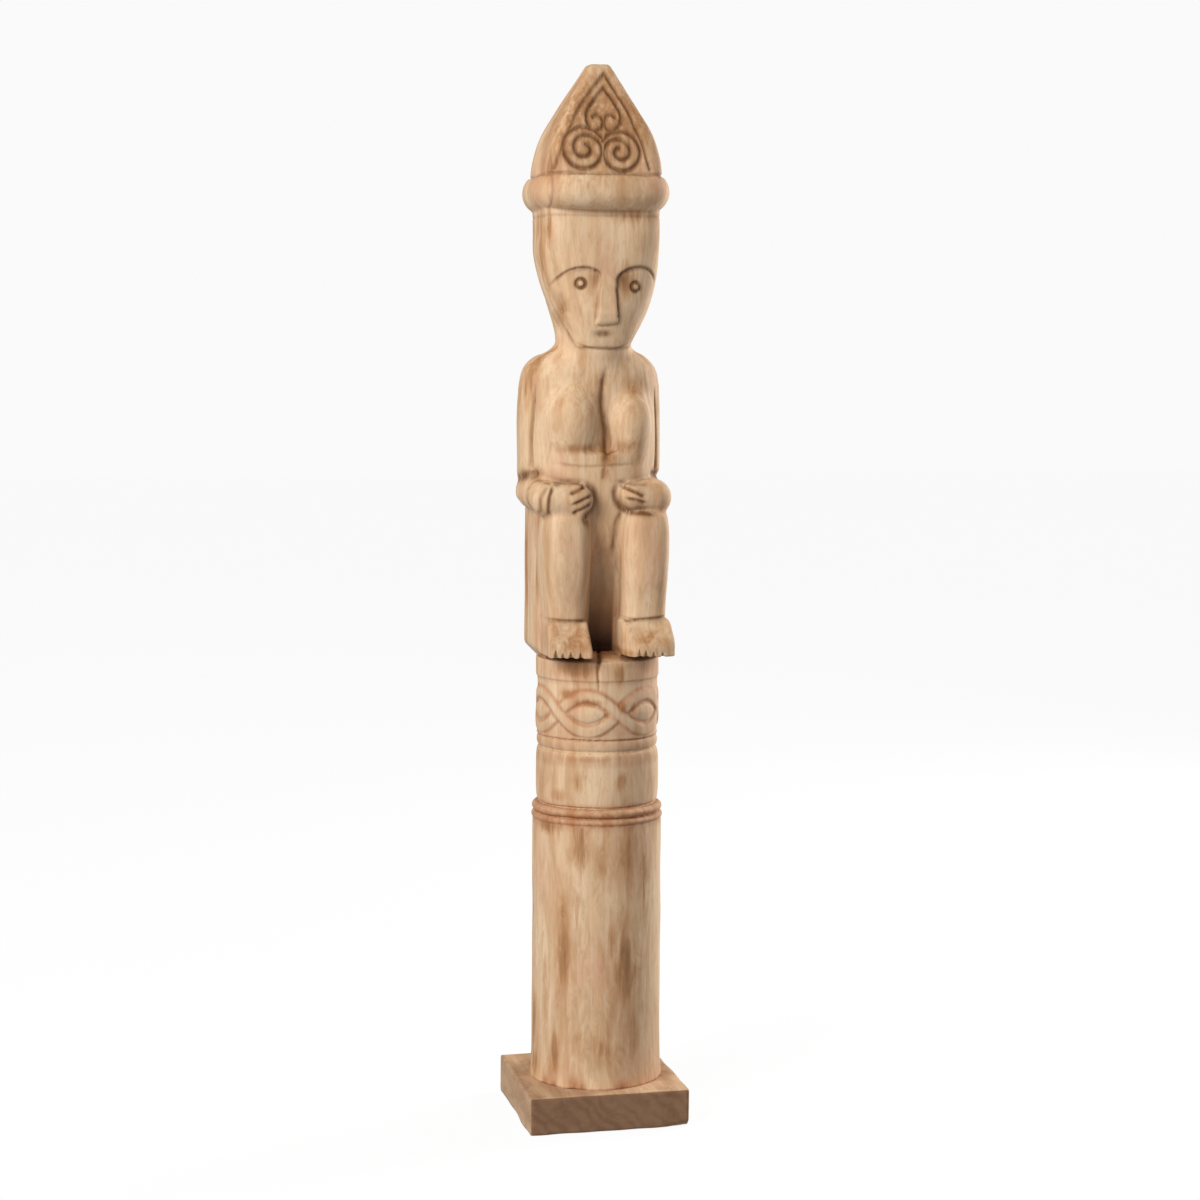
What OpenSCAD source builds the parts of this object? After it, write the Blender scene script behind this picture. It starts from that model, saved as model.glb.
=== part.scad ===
// Carved wooden figure of a seated woman in a pointed hat, on a round column and a square plinth.
// One log makes the hat, the figure, the seat and the column. A plank makes the plinth.
// A dowel centres the column on the plank, and four screws hold it from below.
// The figure looks along -Y. The origin is the middle of the plinth's underside.

/* [Plinth] */
// Side of the square plinth board
plinth_side = 154; // [152:1:200]
// Thickness of the plinth board
plinth_thick = 36; // [32:1:40]
// Chamfer worn along the board's edges
plinth_chamfer = 2; // [1:0.5:4]

/* [Column] */
// Radius of the plain column
column_r = 61; // [59:0.5:63]
// Radius of the ornament band above it
band_r = 58; // [57:0.5:59]
// How far the column stands to the right of the plinth's middle
column_x = 2.5; // [0:0.5:4]
// Height of the seat floor that the feet stand on
floor_z = 446; // [444:1:448]
// Almond shapes carved round the ornament band
almond_count = 6; // [5:1:9]

/* [Figure] */
// How far the figure's middle stands to the left of the column's axis
figure_shift = 5.5; // [3:0.5:7]
// Half the width over the upper arms
arm_half = 67.5; // [64:0.5:68]
// Half the width of the head
head_half = 53.5; // [50:0.5:56]
// Half the width of the brim roll
brim_half = 66.5; // [60:0.5:68]
// Height of the hat's flat tip, which is the total height
total_h = 1000; // [990:1:1010]

/* [Fastening] */
// Diameter of the centre dowel
dowel_d = 30; // [20:1:36]
// How deep the dowel goes into the plinth board
dowel_in_board = 26; // [20:1:28]
// How deep the dowel goes into the column
dowel_in_column = 60; // [40:1:90]
// Shank diameter of the screws
screw_d = 6; // [5:0.5:7]
// Length of the screws
screw_len = 90; // [70:1:110]
// Distance from the column's axis to each screw
screw_ring = 40; // [34:1:46]

/* [Hidden] */
SCREW_COUNT = 4;
$fn = 64;

wood_colour = [0.84, 0.70, 0.54];
board_colour = [0.70, 0.55, 0.40];
dowel_colour = [0.87, 0.74, 0.55];
screw_colour = [0.72, 0.70, 0.62];

far = 200;        // longer than any cut or block needs
glue_gap = 0.1;   // radial gap round the dowel and the screw shanks
head_recess = 0.8;   // how far the screw heads lie below the underside
figure_x = column_x - figure_shift;

// Turned rings above the plain column: low end, high end, crown radius, squareness of the crown
groove_r = band_r - 2;
rings = [[288, 296, column_r + 1.5, 2], [296, 304.5, column_r + 1, 2],
         [306, 357.5, band_r + 1, 3], [359.5, 369.5, band_r, 2]];
band_z = [371, 425];

// Heights of the figure's parts
seat_z = 576;
neck_z = 742;
brim_z = [862.5, 899.5];

// Depths of the figure, measured from the column's axis
seat_back = 58;
torso_front = -44;
torso_back = 68;
head_front = -50;
head_back = 46;

// How far each leg stands from the figure's middle
leg_x = 38;

// ---- Outlines --------------------------------------------------------------------------------

function arc(x, y, r, from, to, steps = 6) =
    [for (i = [0:steps]) let (a = from + (to - from) * i / steps) [x + r * cos(a), y + r * sin(a)]];

// A plan rectangle with round corners, from front (low y) to back (high y)
function rounded_plan(half, front, back, r) = concat(
    arc(half - r, back - r, r, 0, 90), arc(-half + r, back - r, r, 90, 180),
    arc(-half + r, front + r, r, 180, 270), arc(half - r, front + r, r, 270, 360));

// Right-hand half outline, from the bottom up, closed by its mirror image
function both_sides(half) =
    concat(half, [for (i = [len(half) - 1:-1:0]) [-half[i][0], half[i][1]]]);

// Outline of one turned ring, from groove to groove
function ring_outline(low, high, crown, square, steps = 6) =
    [for (i = [0:steps]) let (t = sin(-90 + 180 * i / steps))
        [groove_r + (crown - groove_r) * pow(1 - pow(abs(t), square), 1 / square),
         (low + high) / 2 + t * (high - low) / 2]];

// ---- Blocks sawn from the front, the side and above ------------------------------------------

// An outline of [x, z] points, cut through from front to back
module front_cut(outline) { rotate([90, 0, 0]) linear_extrude(2 * far, center = true) polygon(outline); }

// An outline of [y, z] points, cut through from side to side
module side_cut(outline) { rotate([90, 0, 90]) linear_extrude(2 * far, center = true) polygon(outline); }

// A plan outline, cut from low to high
module plan_cut(outline, low, high) { translate([0, 0, low]) linear_extrude(high - low) polygon(outline); }

// The same thing on both sides of the figure
module pair() { children(); mirror([1, 0, 0]) children(); }

// A teardrop turned about the line from its full end to its slim end
module teardrop(full, slim, full_r, slim_r) {
    v = slim - full;
    length = norm(v);
    tangent = asin((full_r - slim_r) / length);
    translate(full) rotate([0, acos(v[2] / length), atan2(v[1], v[0])]) rotate_extrude()
        polygon(concat(arc(0, 0, full_r, -90, tangent, 9), arc(0, length, slim_r, tangent, 90, 6)));
}

// ---- The turned column -----------------------------------------------------------------------

module column() {
    foot_flare = 1;
    flare_h = 26;
    slab_r = band_r + 1;
    worn_edge = 1.5;
    outline = concat(
        [[0, plinth_thick], [column_r + foot_flare, plinth_thick], [column_r, plinth_thick + flare_h],
         [column_r, rings[0][0] - worn_edge]],
        [for (ring = rings) each ring_outline(ring[0], ring[1], ring[2], ring[3])],
        [[band_r, band_z[0]], [band_r, band_z[1]], [slab_r, band_z[1] + worn_edge],
         [slab_r, floor_z - worn_edge], [slab_r - worn_edge, floor_z], [0, floor_z]]);
    rotate_extrude() polygon(outline);
}

// A lying almond: two discs that overlap, with their axis along the column's radius
module almond(half_h) {
    disc_r = 36;
    intersection_for (side = [-1, 1])
        translate([0, 0, side * (disc_r - half_h)]) rotate([90, 0, 0]) cylinder(h = 2 * band_r, r = disc_r);
}

// Almond rims that stand slightly proud, each round a sunk eye
module band_ornament() {
    first_almond = -22;
    proud = 1.5;
    rim_half_h = 17;
    eye_half_h = 11;
    band_mid = (band_z[0] + band_z[1]) / 2;
    intersection() {
        cylinder(h = band_z[1], r = band_r + proud);
        for (i = [0:almond_count - 1])
            rotate([0, 0, first_almond + i * 360 / almond_count])
                translate([0, -band_r / 2, band_mid]) difference() {
                    almond(rim_half_h);
                    translate([0, 1, 0]) almond(eye_half_h);
                }
    }
}

// ---- The seated figure -----------------------------------------------------------------------

module seat() {
    seat_half = 55;
    step_z = 456;    // the block is undercut below this height, towards the column
    intersection() {
        plan_cut(rounded_plan(seat_half, -22, seat_back, 8), floor_z - 2, seat_z);
        side_cut([[-14, floor_z - 3], [-16, 490], [-22, 530], [-38, seat_z], [seat_back, seat_z + 1],
                  [seat_back, step_z], [48, floor_z - 3]]);
        front_cut(both_sides([[46, floor_z - 3], [seat_half, step_z], [seat_half, seat_z]]));
    }
}

module leg() {
    knee_z = 582;
    intersection() {
        translate([leg_x, 0, 0]) front_cut([[-19, floor_z - 1], [-20, 485], [-24, 530], [-24, 562],
            [-17, 578], [17, 580], [24, 565], [25, 535], [21, 485], [20, floor_z - 1]]);
        side_cut([[0, floor_z - 1], [-46, floor_z - 1], [-52, 490], [-57, 530], [-60, 555],
                  [-56, 572], [-46, 580], [0, knee_z]]);
        translate([leg_x, 0, 0]) plan_cut(rounded_plan(25, -60, 0.5, 10), floor_z - 1, knee_z);
    }
}

module foot() {
    toe_count = 5;
    toe_pitch = 8.6;
    splay = 7;
    instep_z = 482;
    translate([leg_x - 1, 0, 0]) rotate([0, 0, splay]) difference() {
        intersection() {
            plan_cut([[-17, -20], [-20, -62], [-17, -68], [20, -70], [24, -62], [20, -20]],
                     floor_z - 1, instep_z);
            side_cut([[-20, floor_z - 1], [-72, floor_z - 1], [-72, 456], [-66, 464], [-46, instep_z - 1],
                      [-20, instep_z]]);
        }
        for (i = [1:toe_count - 1])
            translate([-20 + i * toe_pitch, -74, 464]) rotate([-90, 0, 0]) cylinder(h = 12, r = 1.5);
    }
}

module torso() {
    intersection() {
        plan_cut(rounded_plan(arm_half, torso_front, torso_back, 26), seat_z - 20, neck_z);
        front_cut(both_sides([[54, seat_z - 20], [58, seat_z], [arm_half - 1, 600], [arm_half, 620],
            [arm_half, 690], [arm_half - 2, 705], [arm_half - 7, 718], [50, 729], [38, 736], [33, neck_z]]));
        side_cut([[torso_front + 4, seat_z - 20], [torso_front, 600], [torso_front + 6, 650], [-34, 700],
            [-25, 728], [-18, neck_z], [34, neck_z], [50, 730], [62, 704], [torso_back - 2, 660],
            [64, 610], [60, seat_z - 20]]);
    }
}

module breast() { teardrop([28, -33, 655], [25, -14, 704], 24, 19); }

// Forearm and hand in one, lying on the lap, with the hand's back facing forwards
module arm() {
    low = 579;
    high = 613;
    intersection() {
        plan_cut([[64, 34], [67.5, 0], [66, -30], [58, -54], [48, -60], [20, -61], [11, -56],
                  [12, -38], [40, 0]], low, high);
        front_cut([[8, low + 8], [16, low], [56, low], [68, low + 12], [68, high - 4], [58, high],
                   [18, high - 1], [8, high - 9]]);
        side_cut([[-61, low + 8], [-53, low], [30, low + 10], [36, high], [-53, high], [-61, high - 8]]);
    }
}

// The groove between the upper arm and the ribs
module arm_groove() {
    groove_z = [612, 696];
    translate([arm_half + 1, -6, groove_z[0]]) cylinder(h = groove_z[1] - groove_z[0], r = 3.5);
}

module finger_grooves() {
    lowest_z = 588.5;
    finger_pitch = 7.5;
    slant = 78;
    for (i = [0:2])
        translate([30, -61, lowest_z + finger_pitch * i]) rotate([0, slant, 0])
            cylinder(h = 30, r = 1.2, center = true);
}

module head() {
    intersection() {
        plan_cut(rounded_plan(head_half, head_front, head_back, 18), neck_z - 4, brim_z[0] + 4);
        front_cut(both_sides([[26, neck_z - 2], [38, 754], [head_half - 8, 772], [head_half - 4, 787],
            [head_half - 1, 804], [head_half, 826], [head_half, brim_z[0] + 4]]));
        side_cut([[-38, neck_z], [-45, 752], [-48, 775], [head_front, 800], [head_front, 850],
            [-46, brim_z[0] + 4], [head_back - 2, brim_z[0] + 4], [head_back, 830],
            [head_back - 3, 790], [36, 760], [28, neck_z]]);
    }
}

module face() {
    nose_half = 9.5;
    eye_x = 25;
    eye_z = 800;
    eye_r = 6;
    pupil_r = 3.2;
    intersection() {
        front_cut(both_sides([[nose_half, 762], [nose_half, 815]]));
        side_cut([[head_front + 4, 760], [head_front - 8, 763], [head_front - 7, 775],
                  [head_front, 818], [head_front + 4, 820]]);
    }
    pair() translate([eye_x, head_front, eye_z]) rotate([90, 0, 0]) difference() {
        cylinder(h = 1.5, r = eye_r);
        translate([0, 0, 0.5]) cylinder(h = 2, r = pupil_r);
    }
}

module brim() {
    brim_mid = (brim_z[0] + brim_z[1]) / 2;
    roll_r = (brim_z[1] - brim_z[0]) / 2;
    roll = both_sides(arc(brim_half - roll_r, brim_mid, roll_r, -90, 90));
    intersection() {
        plan_cut(rounded_plan(brim_half, -brim_half, brim_half, 34), brim_z[0], brim_z[1]);
        front_cut(roll);
        side_cut(roll);
    }
}

module hat() {
    rise = total_h - brim_z[1];
    tip_half = 10;
    base_half = 55;
    corner_share = 1.26;    // how far the worn corners reach, as a share of the half width
    // Convex sides: full at the base, nearly straight up to the flat tip
    profile = [for (t = [0, 0.08, 0.25, 0.47, 0.68, 0.89, 1])
        [tip_half + (base_half - tip_half) * pow(1 - t, 0.72) * (1 - 0.14 * t * (1 - t)),
         brim_z[1] - 2 + (rise + 2) * t]];
    intersection() {
        front_cut(both_sides(profile));
        side_cut(both_sides(profile));
        rotate_extrude() polygon(concat(
            [for (p = profile) [p[0] * corner_share, p[1]]], [[0, total_h], [0, brim_z[1] - 2]]));
    }
}

// Core of the neck, which reaches from the seat into the head
module neck() { translate([0, 4, seat_z]) cylinder(h = neck_z + 20 - seat_z, r = 34); }

module figure() {
    seat();
    pair() { leg(); foot(); }
    difference() {
        union() {
            torso();
            pair() { breast(); arm(); }
        }
        pair() { arm_groove(); finger_grooves(); }
    }
    neck();
    head();
    face();
    brim();
    hat();
}

// ---- Fastenings ------------------------------------------------------------------------------

module at_column() { translate([column_x, 0, 0]) children(); }

module at_screw(i) {
    first_screw = 45;
    turn = first_screw + 360 / SCREW_COUNT * (i - 1);
    at_column() rotate([0, 0, turn]) translate([screw_ring, 0, 0]) children();
}

// Screw shape, also used with a gap to cut its hole. The head lies just below the surface.
module screw_solid(gap = 0) {
    head_r = screw_d;
    head_h = screw_d / 2;
    point_h = screw_d;
    point_r = 0.3;
    shank_r = screw_d / 2;
    translate([0, 0, head_recess]) cylinder(h = head_h, r1 = head_r + gap, r2 = shank_r + gap);
    translate([0, 0, head_recess]) cylinder(h = screw_len - point_h, r = shank_r + gap);
    translate([0, 0, head_recess + screw_len - point_h])
        cylinder(h = point_h + gap, r1 = shank_r + gap, r2 = point_r + gap);
}

// The hole also opens the recess below the head
module screw_hole() {
    screw_solid(glue_gap);
    translate([0, 0, -1]) cylinder(h = 2, r = screw_d + glue_gap);
}

module dowel_solid(gap = 0) {
    at_column() translate([0, 0, plinth_thick - dowel_in_board - gap])
        cylinder(h = dowel_in_board + dowel_in_column + 2 * gap, r = dowel_d / 2 + gap);
}

// ---- Nodes -----------------------------------------------------------------------------------

module carved_trunk() {
    color(wood_colour) difference() {
        union() {
            at_column() column();
            at_column() band_ornament();
            translate([figure_x, 0, 0]) figure();
        }
        dowel_solid(glue_gap);
        for (i = [1:SCREW_COUNT]) at_screw(i) screw_hole();
    }
}

module plinth_board() {
    half = plinth_side / 2;
    side = both_sides([[half - plinth_chamfer, 0], [half, plinth_chamfer],
                       [half, plinth_thick - plinth_chamfer], [half - plinth_chamfer, plinth_thick]]);
    color(board_colour) difference() {
        intersection() {
            front_cut(side);
            side_cut(side);
        }
        dowel_solid(glue_gap);
        for (i = [1:SCREW_COUNT]) at_screw(i) screw_hole();
    }
}

module centre_dowel() { color(dowel_colour) dowel_solid(); }

module plinth_screw(i) {
    slot_len = 1.1 * screw_d;
    slot_w = 1.4;
    slot_deep = 1.2;
    color(screw_colour) at_screw(i) difference() {
        screw_solid();
        for (turn = [0, 90]) rotate([0, 0, turn])
            translate([-slot_len / 2, -slot_w / 2, 0]) cube([slot_len, slot_w, head_recess + slot_deep]);
    }
}

carved_trunk();
plinth_board();
centre_dowel();
for (i = [1:SCREW_COUNT]) plinth_screw(i);
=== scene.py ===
"""Looks of the carved fertility doll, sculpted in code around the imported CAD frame.

The trunk is one log, so it is one closed mesh. Its form is a signed distance in millimetres, made of
lofts, ellipsoids and capsules, and a surface net turns it into quads. The carved lines are then cut
into a finer mesh along their own routes, and each cut also leaves its brown stain as an attribute.
"""
import math

import bmesh
import bpy
import numpy as np
from mathutils import Matrix, Vector


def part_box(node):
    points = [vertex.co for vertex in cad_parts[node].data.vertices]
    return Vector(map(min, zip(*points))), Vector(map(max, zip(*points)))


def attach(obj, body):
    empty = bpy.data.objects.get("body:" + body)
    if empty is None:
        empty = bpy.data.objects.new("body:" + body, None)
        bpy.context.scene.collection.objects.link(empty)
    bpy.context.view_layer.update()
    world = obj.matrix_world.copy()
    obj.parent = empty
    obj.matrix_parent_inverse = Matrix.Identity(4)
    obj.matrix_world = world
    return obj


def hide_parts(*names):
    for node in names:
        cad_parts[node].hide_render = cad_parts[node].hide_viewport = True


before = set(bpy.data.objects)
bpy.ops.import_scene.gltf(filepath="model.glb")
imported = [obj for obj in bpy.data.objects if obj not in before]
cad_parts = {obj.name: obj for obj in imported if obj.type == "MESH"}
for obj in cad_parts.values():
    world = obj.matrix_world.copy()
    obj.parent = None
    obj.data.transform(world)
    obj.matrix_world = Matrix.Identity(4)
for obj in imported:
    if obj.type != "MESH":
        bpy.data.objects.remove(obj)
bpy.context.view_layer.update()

MM = 0.001
FAR = 1e3  # further than any distance in the object, in millimetres


def millimetres(corner):
    return np.array(corner) / MM


BOARD_LOW, BOARD_HIGH = (millimetres(corner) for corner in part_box("plinth_board"))
DOWEL_LOW, DOWEL_HIGH = (millimetres(corner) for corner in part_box("centre_dowel"))
SCREWS = [name for name in sorted(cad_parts) if name.startswith("plinth_screw")]

# Places, in millimetres. Shapes and charts have x = 0 on the column's axis, which stands at AXIS_X.
# The figure's middle lies FIGURE_SHIFT towards its right hand, where x is lower.
AXIS_X = (DOWEL_LOW[0] + DOWEL_HIGH[0]) / 2
BOARD_TOP = BOARD_HIGH[2]
TIP_Z = millimetres(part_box("carved_trunk")[1])[2]
FIGURE_SHIFT = 5.5
FLOOR_Z = 446
SOLE_Z = FLOOR_Z + 3.2
SEAT_BACK = 58
KNEE_Z = 585
CHIN_Z = 737
BRIM_Z = 881
BRIM_ROLL = 18.5
BRIM_HALF = 66.5
HAT_Z = 896
BAND_Z = (371, 425)
BAND_MIDDLE = 395
BAND_R = 58
SHAFT_TOP = 284
GROOVE_R = 56.0


# ---- Distance fields ----

def smooth_union(a, b, blend):
    """The nearer of two surfaces, with a soft join about as wide as the blend."""
    share = np.clip(0.5 + 0.5 * (b - a) / blend, 0, 1)
    return b + (a - b) * share - blend * share * (1 - share)


def smooth_both(a, b, blend):
    """What lies inside both surfaces, with a soft edge."""
    return -smooth_union(-a, -b, blend)


def through(t, knots, values):
    """Smooth curve through the points, flat beyond both ends."""
    slopes = np.gradient(values, knots)
    i = np.clip(np.searchsorted(knots, t) - 1, 0, len(knots) - 2)
    gap = knots[i + 1] - knots[i]
    s = np.clip((t - knots[i]) / gap, 0, 1)
    ends = values[i] * (1 + 2 * s) * (1 - s) ** 2 + values[i + 1] * s * s * (3 - 2 * s)
    return ends + gap * (slopes[i] * s * (1 - s) ** 2 - slopes[i + 1] * s * s * (1 - s))


def superellipse(u, v, half_u, half_v, square):
    """Distance from a squared-off ellipse, measured along the ray from its middle."""
    q = ((np.abs(u) / half_u) ** square + (np.abs(v) / half_v) ** square) ** (1 / square)
    return np.hypot(u, v) * (1 - 1 / np.maximum(q, 1e-3))


def loft(x, y, z, sections):
    """Stacked superellipses, one a row, joined by smooth curves."""
    rows = np.array(sorted(sections), float)
    mid_x, mid_y, half_w, half_d, square = (through(z, rows[:, 0], rows[:, k]) for k in range(1, 6))
    return superellipse(x - mid_x, y - mid_y, half_w, half_d, square)


def length(parts):
    """Length of a vector, from its parts."""
    return np.sqrt(sum(part ** 2 for part in parts))


def ellipsoid(x, y, z, middle, radii):
    near = length((p - m) / r for p, m, r in zip((x, y, z), middle, radii))
    slope = length((p - m) / r ** 2 for p, m, r in zip((x, y, z), middle, radii))
    return near * (near - 1) / np.maximum(slope, 1e-6)


def limb(x, y, z, start, end, start_r, end_r):
    """A capsule that tapers from one radius to the other."""
    along = np.subtract(end, start)
    rays = [p - s for p, s in zip((x, y, z), start)]
    t = np.clip(sum(ray * a for ray, a in zip(rays, along)) / (along @ along), 0, 1)
    gap = length(ray - t * a for ray, a in zip(rays, along))
    return gap - (start_r + t * (end_r - start_r))


def rounded_box(x, y, z, middle, half, radius):
    u, v, w = (np.abs(p - m) - h + radius for p, m, h in zip((x, y, z), middle, half))
    outside = length(np.maximum(part, 0) for part in (u, v, w))
    return outside + np.minimum(np.maximum(np.maximum(u, v), w), 0) - radius


def plan_polygon(x, y, corners, blend):
    """Inside a convex plan outline whose corners run anticlockwise, seen from above."""
    d = -FAR
    for (x0, y0), (x1, y1) in zip(corners, corners[1:] + corners[:1]):
        run, rise = x1 - x0, y1 - y0
        side = (rise * (x - x0) - run * (y - y0)) / math.hypot(run, rise)
        d = smooth_both(d, side, blend)
    return d


# ---- The turned column ----

# Rings of the column: low and high end, crown radius, squareness of the profile
RINGS = [
    (-200, 289, 61.9, 60),
    (287.5, 296.3, 62.9, 2),
    (295.5, 304.5, 62.4, 2),
    (306, 357.5, 58.8, 3.0),
    (359.5, 369.5, 57.8, 2),
    (BAND_Z[0] - 0.5, BAND_Z[1] + 1, BAND_R, 12),
    (BAND_Z[1] + 0.5, FLOOR_Z + 12, 58.8, 12),
]


def ring_radius(z):
    radius = np.full(np.shape(z), GROOVE_R)
    for low, high, crown, square in RINGS:
        t = np.clip(np.abs(z - (low + high) / 2) / ((high - low) / 2), 0, 1)
        radius = np.maximum(radius, GROOVE_R + (crown - GROOVE_R) * (1 - t ** square) ** (1 / square))
    flare_out, flare_up = 2.0, 12
    return radius + flare_out * np.exp(-np.maximum(z - BOARD_TOP, 0) / flare_up)


def column(x, y, z):
    reach = np.hypot(x, y)
    rim, mound, sunk = -1.5, 8, 0.5
    top = FLOOR_Z + rim + mound * (1 - np.minimum(reach / BAND_R, 1) ** 2)
    side = smooth_both(reach - ring_radius(z), z - top, 2)
    return np.maximum(side, BOARD_TOP - sunk - z)


# ---- The seated figure, with x from the figure's middle ----

# A loft's rows are: height, middle x, middle y, half width, half depth, squareness

def seat(x, y, z):
    front, half, low, high = -16, 55.5, FLOOR_Z - 8, KNEE_Z + 4
    block = rounded_box(x, y, z, (0, (front + SEAT_BACK) / 2, (low + high) / 2),
                        (half, (SEAT_BACK - front) / 2, (high - low) / 2), 6)
    bevel_z, bevel_out, bevel_down = 453, 0.75, 0.66
    for outward in (np.abs(x) - half, y - SEAT_BACK):
        under = bevel_out * outward - bevel_down * (z - bevel_z)
        block = smooth_both(block, under, 2)
    return block


def shin(x, y, z, middle, ankle_half):
    rows = [(KNEE_Z + 2, middle, -26, 19.5, 31, 3.2), (572, middle, -26, 22, 34, 3.2),
            (555, middle, -26, 23, 34.5, 3), (525, middle, -24, 22.3, 34, 2.9),
            (492, middle, -22, ankle_half, 29.5, 2.9), (FLOOR_Z, middle, -21, ankle_half, 28, 3)]
    leg = smooth_both(loft(x, y, z, rows), z - KNEE_Z, 7)
    return smooth_both(leg, SOLE_Z - z, 1.5)


def foot(x, y, z, outline):
    """A wedge over the foot's outline. Its instep falls from the ankle to the toes."""
    ankle_y, ankle_z = -47, 482
    forwards, upwards = -0.77, 0.64
    plan = plan_polygon(x, y, outline, 4)
    instep = forwards * (y - ankle_y) + upwards * (z - ankle_z)
    top = smooth_both(instep, z - ankle_z - 1, 4)
    return smooth_both(smooth_both(plan, top, 4), SOLE_Z - z, 1.5)


def legs(x, y, z):
    right_foot = [(-16, -15), (-53, -15), (-53, -66), (-13.5, -70)]
    left_foot = [(62, -15), (19, -15), (17.5, -49), (29, -69.5), (67, -62)]
    right = smooth_union(shin(x, y, z, -33.4, 19.6), foot(x, y, z, right_foot), 2)
    left = smooth_union(shin(x, y, z, 42.8, 21.2), foot(x, y, z, left_foot), 2)
    return np.minimum(right, left)


def belly(x, y, z):
    top = 640
    rows = [(450, 3, 0, 30, 15, 3), (490, 3, 0, 31, 20, 3), (530, 3, 0, 34, 28, 3),
            (555, 2, 0, 37, 35, 3), (576, 0, 0, 42, 39, 3), (600, 0, 0, 46, 41, 3),
            (top, 0, 0, 50, 42, 3)]
    return np.maximum(smooth_both(loft(x, y, z, rows), z - top, 6), FLOOR_Z - z)


def chest(x, y, z):
    low, high = 562, 745
    rows = [(low, 0, 14, 50, 40, 2.8), (585, 0, 17, 54, 42, 2.8), (610, 0, 18, 59, 48, 2.8),
            (690, 0, 17, 61.5, 48, 2.8), (704, 0, 16, 61.5, 47, 2.7), (719, 0, 14, 58, 44, 2.5),
            (728, 0, 12, 51, 40, 2.3), (735, 0, 10, 40, 35, 2.1), (742, 0, 8, 33, 31, 2)]
    return np.maximum(smooth_both(loft(x, y, z, rows), z - high, 3), low - z)


def upper_arm(x, y, z):
    low, high = 596, 730
    rows = [(598, 51.5, 20, 16.6, 24, 2.4), (690, 51, 20, 16.8, 25, 2.4), (704, 50.2, 20, 16.6, 25, 2.3),
            (719, 46.3, 19, 16, 24, 2.2), (729, 39.5, 18, 14, 21, 2)]
    arm = smooth_both(loft(np.abs(x), y, z, rows), z - high, 6)
    return smooth_both(arm, low - z, 4)


def breasts(x, y, z):
    right = ellipsoid(x, y, z, (-24, -19, 667), (28, 26.5, 36))
    left = ellipsoid(x, y, z, (30, -19, 664), (22, 26.5, 34))
    return smooth_union(right, left, 7)


def forearms(x, y, z):
    elbow = limb(np.abs(x), y, z, (52.5, 20, 600), (51, -36, 597), 16, 15)
    right = limb(x, y, z, (-48, -42, 595), (-25.5, -45, 595.5), 15.6, 15.8)
    left = limb(x, y, z, (48, -39, 598), (29.5, -44, 599), 15.4, 13.2)
    hands = np.minimum(right, left)
    return smooth_union(elbow, hands, 10)


def neck(x, y, z):
    low, high = 692, 790
    rows = [(low, 1, 8, 29, 31, 2.2), (712, 1, 5, 33, 34, 2.2), (728, 1, 3, 34, 37, 2.2),
            (high, 1, 3, 34, 38, 2.2)]
    return np.maximum(loft(x, y, z, rows), np.maximum(z - high, low - z))


def back_of_head(x, y, z):
    low, high = 742, 870
    rows = [(744, 0, 10, 33, 33, 2.2), (757, 0, 10, 36, 36, 2.2), (772, 0, 10, 40.5, 38, 2.3),
            (787, 0.5, 8, 45.5, 40, 2.4), (805, 1, 5, 49.5, 43, 2.6), (825, 1, 2, 52, 46, 3),
            (868, 1, 0, 53.5, 47, 4)]
    return np.maximum(loft(x, y, z, rows), np.maximum(low - z, z - high))


def face(x, y, z):
    high = 868
    rows = [(735, 2.2, -11, 27.2, 27, 2.8), (748, 3.2, -10, 33, 31.5, 2.6), (757, 3.5, -8, 38.2, 36, 2.4),
            (770, 3.7, -6, 44.5, 40.5, 2.3), (787, 3.1, -4, 51, 44, 2.4), (805, 2.3, -2.5, 55.2, 46, 2.7),
            (825, 1.2, -2, 57.3, 47, 3.2), (845, 1.4, -2, 56.7, 47.5, 4.2), (high, 1, -2, 55.8, 46.5, 5)]
    return smooth_both(smooth_both(loft(x, y, z, rows), CHIN_Z - z, 3), z - high, 2)


def nose_edges(z):
    """Right and left side of the nose, which narrows towards the brows."""
    near = through(z, np.array([758, 772, 788, 798, 810.0]), np.array([-7.4, -6.6, -5.4, -3.8, -2.0]))
    far = through(z, np.array([760, 780, 810.0]), np.array([12.8, 12.2, 10.6]))
    return near, far


def nose(x, y, z):
    low, high = 757.5, 818
    bridge_y, rise, lean = 46.5, 5.0, 0.12
    near, far = nose_edges(z)
    t = np.clip((high - z) / (high - low), 0, 1)
    side = np.maximum(near - x, x - far)
    rounded_tip = np.clip((z - low + 3) / 14, 0.12, 1)
    front = -(bridge_y + rise * t ** 0.7 * rounded_tip) - y
    ends = np.maximum(low + lean * x - z, z - high)
    return smooth_both(smooth_both(np.maximum(side, y), front, 3), ends, 5)


def brim(x, y, z):
    core = superellipse(x - 1, y, BRIM_HALF - BRIM_ROLL, BRIM_HALF - BRIM_ROLL, 4)
    up = z - BRIM_Z
    return np.where(core > 0, np.hypot(np.maximum(core, 0), up), np.abs(up)) - BRIM_ROLL


def hat(x, y, z):
    rows = [(HAT_Z - 8, 1, 0, 55.5, 55.5, 8), (912, 1, 0, 53, 53, 8), (934, 1, 0, 46.5, 46.5, 8),
            (956, 1.2, 0, 35.3, 35.3, 7), (978, 1.8, 0, 22.8, 22.8, 6), (TIP_Z, 2.7, 0, 9.8, 9.8, 5)]
    flanks = loft(x, y, z, rows)
    return smooth_both(smooth_both(flanks, z - TIP_Z, 2.5), HAT_Z - 10 - z, 1)


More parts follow.
